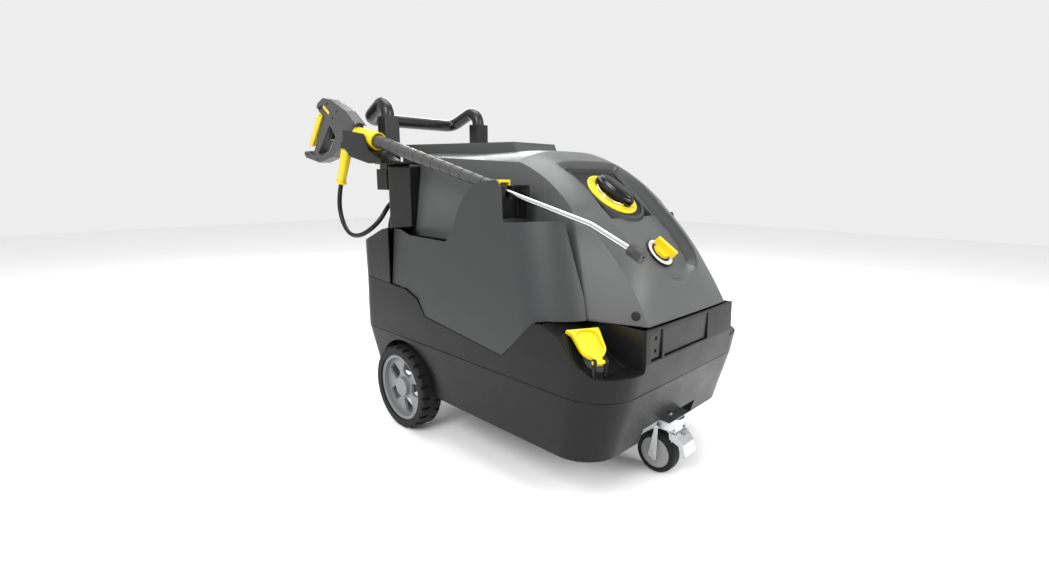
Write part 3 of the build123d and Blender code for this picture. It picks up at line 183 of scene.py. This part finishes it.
hood_grey = material("hood_grey", (0.064, 0.0655, 0.066), 0.34, grain=0.25, blotch=0.05, specular=0.4)
side_grey = material("side_grey", (0.030, 0.031, 0.0315), 0.40, grain=0.25, blotch=0.05, specular=0.3)
chassis_grey = material("chassis_grey", (0.0055, 0.0055, 0.006), 0.33,
                        grain=0.3, blotch=0.06, bevel=0.004, specular=0.2)
skirt_black = material("skirt_black", (0.005, 0.005, 0.0052), 0.30,
                       grain=0.25, blotch=0.06, bevel=0.004, specular=0.2)
satin_black = material("satin_black", (0.006, 0.006, 0.0065), 0.30,
                       grain=0.2, blotch=0.05, bevel=0.004, specular=0.25)
gloss_black = material("gloss_black", (0.003, 0.003, 0.003), 0.2, bevel=0.002, specular=0.35)
panel_grey = material("panel_grey", (0.016, 0.0165, 0.0175), 0.5, grain=0.15, specular=0.2)
skirt_grey = material("skirt_grey", (0.028, 0.0285, 0.029), 0.42, grain=0.2, specular=0.3)
cover_grey = material("cover_grey", (0.055, 0.056, 0.057), 0.36, grain=0.2, blotch=0.05, bevel=0.008, specular=0.4)
pale = material("pale", (0.5, 0.5, 0.5), 0.35)
yellow = material("yellow", (0.66, 0.50, 0.004), 0.34, grain=0.08, bevel=0.002)
red = material("red", (0.55, 0.012, 0.008), 0.3, grain=0.08, bevel=0.002)
steel = material("steel", (0.62, 0.62, 0.63), 0.16, metallic=1.0, blotch=0.05)
zinc = material("zinc", (0.55, 0.56, 0.57), 0.28, metallic=1.0, grain=0.1, blotch=0.08)
rubber = material("rubber", (0.008, 0.008, 0.008), 0.6, grain=0.4, grain_size=500.0, specular=0.2)
hose_black = material("hose_black", (0.004, 0.004, 0.004), 0.4, grain=0.15, specular=0.3)
rim_silver = material("rim_silver", (0.17, 0.173, 0.176), 0.36, grain=0.12, bevel=0.002)
hub_grey = material("hub_grey", (0.22, 0.22, 0.225), 0.4, grain=0.1)
handle_black = material("handle_black", (0.006, 0.006, 0.0065), 0.28,
                        grain=0.3, blotch=0.05, bevel=0.003, specular=0.4)
gun_grey = material("gun_grey", (0.048, 0.047, 0.047), 0.42, grain=0.35, blotch=0.05, bevel=0.004, specular=0.35)
nozzle_grey = material("nozzle_grey", (0.03, 0.03, 0.031), 0.45, grain=0.3, bevel=0.002, specular=0.3)
iron = material("iron", (0.12, 0.12, 0.125), 0.5, metallic=0.6, grain=0.3)
tank = material("tank", (0.05, 0.05, 0.05), 0.5, grain=0.2)

NODE_MATERIALS = {
    hood_grey: ("bonnet",),
    side_grey: ("side_panel_right", "side_panel_left"),
    chassis_grey: ("chassis_upper",),
    skirt_black: ("chassis_base",),
    satin_black: ("rear_housing", "rear_shoulders", "chute_bearings", "front_plate", "service_panel", "lance_holder",
                  "lance_cradle", "gun_catch", "body_screws", "pocket_trays", "cable_gland", "filler_bays"),
    gun_grey: ("gun_body", "lance_grip"),
    nozzle_grey: ("lance_nozzle",),
    gloss_black: ("dial_knob",),
    panel_grey: ("control_panel",),
    cover_grey: ("burner_cover",),
    pale: ("flow_plate",),
    yellow: ("dial_ring", "lance_latch", "lance_collar", "hose_sleeve", "gun_trigger", "filler_chute_right",
             "flow_knob"),
    red: ("filler_chute_left",),
    steel: ("lance_tube", "flue_duct", "hose_swivel", "hose_hook", "water_inlet", "pressure_outlet", "boiler"),
    zinc: ("caster_mount", "caster_fork", "brake_pedal", "wheel_axle", "deck_plate", "heating_coil"),
    rubber: ("tyre_right", "tyre_left", "caster_tyre"),
    hose_black: ("pressure_hose", "hose_tail", "hose_coil"),
    rim_silver: ("rim_right", "rim_left"),
    hub_grey: ("caster_hub",),
    handle_black: ("push_handle",),
    iron: ("motor", "pump", "burner_blower"),
    tank: ("fuel_tank", "detergent_tank"),
}
for finish, names in NODE_MATERIALS.items():
    for name in names:
        nodes[name].data.materials.clear()
        nodes[name].data.materials.append(finish)
hose.data.materials.append(hose_black)


def paint(name, finish, wanted):
    """Gives a second finish to the faces of a CAD node whose centre and normal pass a test."""
    mesh = nodes[name].data
    mesh.materials.append(finish)
    index = len(mesh.materials) - 1
    for face in mesh.polygons:
        if wanted(face.center, face.normal):
            face.material_index = index


# ---------------------------------------------------------------- helpers for new pieces
SAME_POINT = 1e-6
SHARP_FROM = math.radians(32.0)


def new_piece(name, points, faces, finish, body="body"):
    """Mesh piece from points and faces, smooth except at its edges, that rides on a body."""
    mesh = bpy.data.meshes.new(name)
    mesh.from_pydata([tuple(point) for point in points], [], faces)
    mesh.validate()
    made = bpy.data.objects.new(name, mesh)
    bpy.context.collection.objects.link(made)
    grown = bmesh.new()
    grown.from_mesh(mesh)
    bmesh.ops.remove_doubles(grown, verts=grown.verts, dist=SAME_POINT)
    bmesh.ops.recalc_face_normals(grown, faces=grown.faces)
    grown.to_mesh(mesh)
    grown.free()
    mesh.polygons.foreach_set("use_smooth", [True] * len(mesh.polygons))
    mesh.set_sharp_from_angle(angle=SHARP_FROM)
    mesh.materials.append(finish)
    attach(made, body)
    return made


def smooth_step(value):
    """0 below 0, 1 above 1, and a soft ramp between."""
    value = min(1.0, max(0.0, value))
    return value * value * (3.0 - 2.0 * value)


# ---------------------------------------------------------------- bonnet
PANEL_AT = Vector((0.413, 0.004, 0.645))
PANEL_OUT = Vector((0.616, 0.0, 0.788)).normalized()
PANEL_UP = Vector((-0.788, 0.0, 0.616)).normalized()
FLOW_AT = Vector((0.5506, 0.0, 0.5175))
FLOW_OUT = Vector((0.727, 0.0, 0.687)).normalized()
FLOW_UP = Vector((-0.687, 0.0, 0.727)).normalized()
BONNET_LOW = 0.393
BONNET_REAR = -0.119
RIDGE = ((0.636, 0.393), (0.557, 0.508), (0.456, 0.604), (0.370, 0.672), (0.275, 0.714), (BONNET_REAR, 0.734))
RIDGE_STEPS = (90, 70, 60)                 # points along the front arc, the upper arc and the flat top
FLANK_HALF, FLANK_LEAN, FLANK_FOOT, FLANK_TALL = 0.212, 0.043, 0.392, 0.330
CORNER_HALF, CORNER_X, CORNER_BACK, CORNER_UP = 0.167, 0.636, 0.39823, 0.27547
CROWN_POWER = 3.5
CROWN_LOW, CROWN_MORE = 0.006, 0.024       # height of the crown at the foot, and what it gains further up
CROWN_FROM, CROWN_RAMP = 0.400, 0.12       # Z where the gain starts, and the height it takes
REAR_LOSS = 0.45                           # part of the crown that is gone at the rear
REAR_FROM, REAR_RAMP = 0.26, 0.25          # X where the loss starts, and the length it takes
CHANNEL_HALF, CHANNEL_SPREAD = 0.090, 0.011
SPREAD_FROM, SPREAD_RAMP = 0.47, 0.10      # Z where the channel widens, and the height it takes
CHANNEL_OVER, CHANNEL_RAMP = 0.022, 0.030  # where the channel's side wall ends, and how wide it is
CHANNEL_MIDDLE_Y, CHANNEL_SAG_Y = 0.010, 0.095
CHANNEL_FOOT, CHANNEL_SAG, FOOT_RAMP = 0.447, 0.038, 0.022
CHANNEL_REAR, CHANNEL_REAR_RAMP = 0.331, 0.010
HOLE_HALF, HOLE_DOWN, HOLE_UP, HOLE_DEEP = 0.086, -0.076, 0.084, -0.016  # the skin dips under the control panel
ACROSS, DOWN = 132, 26                     # faces over the top and down each flank
SKIN_THICK = 0.003


def arc(first, middle, last, count):
    """Points on the circle through three points of the side view, from the first to the last."""
    (ax, az), (bx, bz), (cx, cz) = first, middle, last
    double = 2 * (ax * (bz - cz) + bx * (cz - az) + cx * (az - bz))
    ux = ((ax**2 + az**2) * (bz - cz) + (bx**2 + bz**2) * (cz - az) + (cx**2 + cz**2) * (az - bz)) / double
    uz = ((ax**2 + az**2) * (cx - bx) + (bx**2 + bz**2) * (ax - cx) + (cx**2 + cz**2) * (bx - ax)) / double
    radius = math.hypot(ax - ux, az - uz)
    start = math.atan2(az - uz, ax - ux)
    end = math.atan2(cz - uz, cx - ux)
    return [(ux + radius * math.cos(start + (end - start) * i / count),
             uz + radius * math.sin(start + (end - start) * i / count)) for i in range(count)]


def straight(first, last, count):
    """Points on a line of the side view, both ends included."""
    return [(first[0] + (last[0] - first[0]) * i / count, first[1] + (last[1] - first[1]) * i / count)
            for i in range(count + 1)]


def half_width(x, z):
    """Half width of the bonnet where its side faces or its front corner faces cut it."""
    flank = FLANK_HALF - FLANK_LEAN * (z - FLANK_FOOT) / FLANK_TALL
    corner = CORNER_HALF - CORNER_BACK * (x - CORNER_X) - CORNER_UP * (z - FLANK_FOOT)
    return min(flank, corner)


def crown(x, z, y, width):
    """Height of the bonnet's skin above the ridge line: a crowned sheet with a sunk middle channel."""
    rise = CROWN_LOW + CROWN_MORE * smooth_step((z - CROWN_FROM) / CROWN_RAMP)
    rise *= 1.0 - REAR_LOSS * smooth_step((REAR_FROM - x) / REAR_RAMP)
    sheet = rise * (1.0 - abs(y / width) ** CROWN_POWER)
    channel_half = CHANNEL_HALF + CHANNEL_SPREAD * smooth_step((z - SPREAD_FROM) / SPREAD_RAMP)
    across_it = smooth_step((channel_half + CHANNEL_OVER - abs(y)) / CHANNEL_RAMP)
    low_end = CHANNEL_FOOT + CHANNEL_SAG * ((y - CHANNEL_MIDDLE_Y) / CHANNEL_SAG_Y) ** 2
    along_it = smooth_step((z - low_end) / FOOT_RAMP) * smooth_step((x - CHANNEL_REAR) / CHANNEL_REAR_RAMP)
    up = (x - PANEL_AT.x) * PANEL_UP.x + (z - PANEL_AT.z) * PANEL_UP.z
    if abs(y - PANEL_AT.y) < HOLE_HALF and HOLE_DOWN < up < HOLE_UP:
        return HOLE_DEEP
    return sheet * (1.0 - across_it * along_it)


def bonnet_row(x, z, out):
    """Points across the bonnet at one place of the ridge line: up one flank, over the top and down the other."""
    width = half_width(x, z)
    heights = [z + (BONNET_LOW - z) * j / DOWN for j in range(DOWN, 0, -1)]
    near, far = ([Vector((x, side * half_width(x, low), low)) for low in heights] for side in (-1, 1))
    top = []
    for j in range(ACROSS + 1):
        y = width * (2.0 * j / ACROSS - 1.0)
        lift = crown(x, z, y, width)
        top.append(Vector((x + out.x * lift, y, z + out.y * lift)))
    return near + top + far[::-1]


front_arc, upper_arc, top_line = RIDGE_STEPS
profile = arc(*RIDGE[:3], front_arc) + arc(*RIDGE[2:5], upper_arc) + straight(*RIDGE[4:], top_line)
rows = []
for i, (x, z) in enumerate(profile):
    before, after = profile[max(0, i - 1)], profile[min(len(profile) - 1, i + 1)]
    along = Vector((after[0] - before[0], after[1] - before[1])).normalized()
    out = Vector((along.y, -along.x))
    rows.append(bonnet_row(x, z, out if out.x + out.y > 0 else -out))
wide = len(rows[0])
faces = [(i * wide + j, i * wide + j + 1, (i + 1) * wide + j + 1, (i + 1) * wide + j)
         for i in range(len(rows) - 1) for j in range(wide - 1)]
skin = new_piece("bonnet_skin", sum(rows, []), faces, hood_grey)
shell = skin.modifiers.new("shell", "SOLIDIFY")
shell.thickness = SKIN_THICK
shell.offset = -1.0
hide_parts("bonnet")
# Painted shade: the channel's sideways-facing side walls get the darker skirt_grey, standing in for the shade that
# falls on them
SHADE_FROM_Y, SHADE_TO_Y, SHADE_FROM_X, SHADE_FROM_Z, SHADE_FACING = 0.080, 0.124, 0.336, 0.455, 0.36
skin.data.materials.append(skirt_grey)
for face in skin.data.polygons:
    x, y, z = face.center
    in_channel = SHADE_FROM_Y < abs(y) < SHADE_TO_Y and x > SHADE_FROM_X and z > SHADE_FROM_Z
    if in_channel and abs(face.normal.y) > SHADE_FACING:
        face.material_index = 1


# ---------------------------------------------------------------- control panel
RIM_CHAMFER = 0.0006


def ring_piece(name, centre, axis, up, inner, outer, low, high, finish, slot, body="body", count=96):
    """Flat ring with chamfered rims round an axis."""
    side = axis.cross(up)
    chamfer = min(RIM_CHAMFER, (high - low) / 3)
    section = ((inner, low), (inner, high - chamfer), (inner + chamfer, high), (outer - chamfer, high),
               (outer, high - chamfer), (outer, low))
    made = []
    for i in range(count):
        angle = math.tau * i / count
        spoke = up * math.cos(angle) + side * math.sin(angle)
        made += [centre + spoke * radius + axis * height for radius, height in section]
    rim = len(section)
    sides = [(i * rim + j, i * rim + (j + 1) % rim, (i + 1) % count * rim + (j + 1) % rim, (i + 1) % count * rim + j)
             for i in range(count) for j in range(rim)]
    return new_piece(name, made, sides, finish, body)


def tick_marks(name, centre, axis, up, angles, near, far, width, high, finish, body="body"):
    """Short raised radial bars on a dial, as one piece."""
    side = axis.cross(up)
    made, sides = [], []
    for angle in angles:
        turned = math.radians(angle)
        spoke = up * math.cos(turned) + side * math.sin(turned)
        beside = axis.cross(spoke) * width / 2
        first = len(made)
        for height in (0.0, high):
            for radius, way in ((near, -1), (near, 1), (far, 1), (far, -1)):
                made.append(centre + spoke * radius + beside * way + axis * height)
        sides += [(first, first + 1, first + 2, first + 3), (first + 4, first + 5, first + 6, first + 7)]
        sides += [(first + k, first + (k + 1) % 4, first + 4 + (k + 1) % 4, first + 4 + k) for k in range(4)]
    return new_piece(name, made, sides, finish, body)


# The panel's sides and its raised rim are paler than its face
FACING, RIM_FROM = 0.9, -0.003
paint("control_panel", skirt_grey, lambda place, out: Vector(out).dot(PANEL_OUT) < FACING or
      (place - PANEL_AT).dot(PANEL_OUT) > RIM_FROM)

# Oval knob of the dial: a domed grip with a soft rim
KNOB_TURN = math.radians(20.0)
KNOB_LONG, KNOB_WIDE, KNOB_HIGH, KNOB_FOOT = 0.053, 0.030, 0.024, 0.001
KNOB_NECK = 0.9                            # shares of the section below this belong to the narrower grip
GRIP_LONGER, GRIP_NARROWER = 0.12, 0.92
AROUND = 72
knob_long = (PANEL_UP * math.cos(KNOB_TURN) + Vector((0, 1, 0)) * -math.sin(KNOB_TURN)).normalized()
knob_side = PANEL_OUT.cross(knob_long)
KNOB_SECTION = ((1.0, 0.0), (1.0, 0.18), (0.985, 0.30), (0.95, 0.42), (0.90, 0.52), (0.84, 0.60), (0.80, 0.66),
                (0.77, 0.74), (0.74, 0.84), (0.68, 0.93), (0.56, 0.985), (0.35, 1.0), (0.12, 1.0))
points, faces = [], []
for share, height in KNOB_SECTION:
    for i in range(AROUND):
        angle = math.tau * i / AROUND
        reach = knob_long * (KNOB_LONG * math.cos(angle)) + knob_side * (KNOB_WIDE * math.sin(angle))
        if share < KNOB_NECK:
            reach = (knob_long * (KNOB_LONG * math.cos(angle) * min(1.0, share + GRIP_LONGER)) +
                     knob_side * (KNOB_WIDE * math.sin(angle) * share * GRIP_NARROWER))
        points.append(PANEL_AT + reach + PANEL_OUT * (KNOB_FOOT + KNOB_HIGH * height))
for j in range(len(KNOB_SECTION) - 1):
    for i in range(AROUND):
        faces.append((j * AROUND + i, j * AROUND + (i + 1) % AROUND,
                      (j + 1) * AROUND + (i + 1) % AROUND, (j + 1) * AROUND + i))
last = (len(KNOB_SECTION) - 1) * AROUND
faces.append(tuple(range(last, last + AROUND)))
faces.append(tuple(range(AROUND - 1, -1, -1)))
knob = new_piece("dial_grip", points, faces, gloss_black, "dial")
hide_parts("dial_knob")

RING_TOP = -0.0018                         # the dial ring's face, measured from PANEL_AT
TICKS = range(-150, 51, 20)                # degrees
TICK_NEAR, TICK_FAR, TICK_WIDE, TICK_HIGH = 0.056, 0.064, 0.0012, 0.0003
tick_marks("dial_ticks", PANEL_AT + PANEL_OUT * RING_TOP, PANEL_OUT, PANEL_UP, TICKS,
           TICK_NEAR, TICK_FAR, TICK_WIDE, TICK_HIGH, gloss_black)
# Each ring: its inner and outer radius, and its lower and upper face
ring_piece("dial_edge", PANEL_AT, PANEL_OUT, PANEL_UP, 0.0425, 0.0445, -0.0015, 0.004, steel, "steel", "dial")
ring_piece("flow_outline", FLOW_AT, FLOW_OUT, FLOW_UP, 0.0345, 0.0375, 0.0, 0.0034, gloss_black, "dial_black")
ring_piece("flow_hub", FLOW_AT, FLOW_OUT, FLOW_UP, 0.0145, 0.0255, 0.0025, 0.0042, gloss_black, "dial_black")


# ---------------------------------------------------------------- small parts of the gun
GUN_FACE = -0.262
SIDE_OUT = Vector((0.0, -1.0, 0.0))
SIDE_UP = Vector((0.0, 0.0, 1.0))
SCREW = (0.0012, 0.0042, -0.001, 0.0008)   # inner and outer radius, lower and upper face
STICKER = ((-0.497, 0.884), (-0.462, 0.861), (-0.457, 0.868), (-0.492, 0.891))
STICKER_SUNK, STICKER_THICK = 0.0004, 0.0008
GUN_SCREWS = ((-0.526, 0.884), (-0.470, 0.893), (-0.409, 0.866), (-0.440, 0.850), (-0.560, 0.732), (-0.632, 0.748))
for number, (x, z) in enumerate(GUN_SCREWS):
    ring_piece(f"gun_screw_{number}", Vector((x, GUN_FACE, z)), SIDE_OUT, SIDE_UP, *SCREW,
               satin_black, "black_plastic", count=24)


def plate(name, corners, y, thick, finish):
    """Thin flat plate with these (x, z) corners on the near side, a little proud of the surface at y."""
    made = [Vector((x, y, z)) for x, z in corners] + [Vector((x, y - thick, z)) for x, z in corners]
    count = len(corners)
    sides = [tuple(range(count)), tuple(range(count, 2 * count))]
    sides += [(i, (i + 1) % count, count + (i + 1) % count, count + i) for i in range(count)]
    return new_piece(name, made, sides, finish)


plate("gun_sticker", STICKER, GUN_FACE + STICKER_SUNK, STICKER_THICK, yellow)


# ---------------------------------------------------------------- floor and light
def softbox(name, place, target, width, power):
    """Square area light at a place, aimed at a target."""
    lamp = bpy.data.objects.new(name, bpy.data.lights.new(name, "AREA"))
    bpy.context.collection.objects.link(lamp)
    lamp.data.size = width
    lamp.data.energy = power
    lamp.location = place
    lamp.rotation_euler = (Vector(target) - Vector(place)).to_track_quat("-Z", "Y").to_euler()


FLOOR_SIZE, FLOOR_COLOUR, FLOOR_ROUGH = 14.0, (0.9, 0.9, 0.9, 1.0), 0.7
SKY_COLOUR, SKY_STRENGTH = (1.0, 1.0, 1.0, 1.0), 0.85
bpy.ops.mesh.primitive_plane_add(size=FLOOR_SIZE, location=(0, 0, 0))
floor = bpy.context.object
floor.name = "floor"
floor_finish = bpy.data.materials.new("floor")
floor_finish.use_nodes = True
floor_shader = floor_finish.node_tree.nodes["Principled BSDF"]
floor_shader.inputs["Base Color"].default_value = FLOOR_COLOUR
floor_shader.inputs["Roughness"].default_value = FLOOR_ROUGH
floor.data.materials.append(floor_finish)

bpy.context.scene.view_settings.view_transform = "Standard"
world = bpy.data.worlds.new("studio")
bpy.context.scene.world = world
world.use_nodes = True
sky = world.node_tree.nodes["Background"]
sky.inputs["Color"].default_value = SKY_COLOUR
sky.inputs["Strength"].default_value = SKY_STRENGTH
softbox("key", (1.2, -2.6, 2.4), (0, 0, 0.4), 1.6, 90.0)
softbox("front", (3.0, 0.6, 1.6), (0.2, 0, 0.4), 1.4, 55.0)
softbox("top", (-0.4, 0.2, 3.0), (0, 0, 0.4), 2.0, 60.0)
softbox("back", (-2.2, 1.6, 1.8), (0, 0, 0.5), 1.2, 40.0)
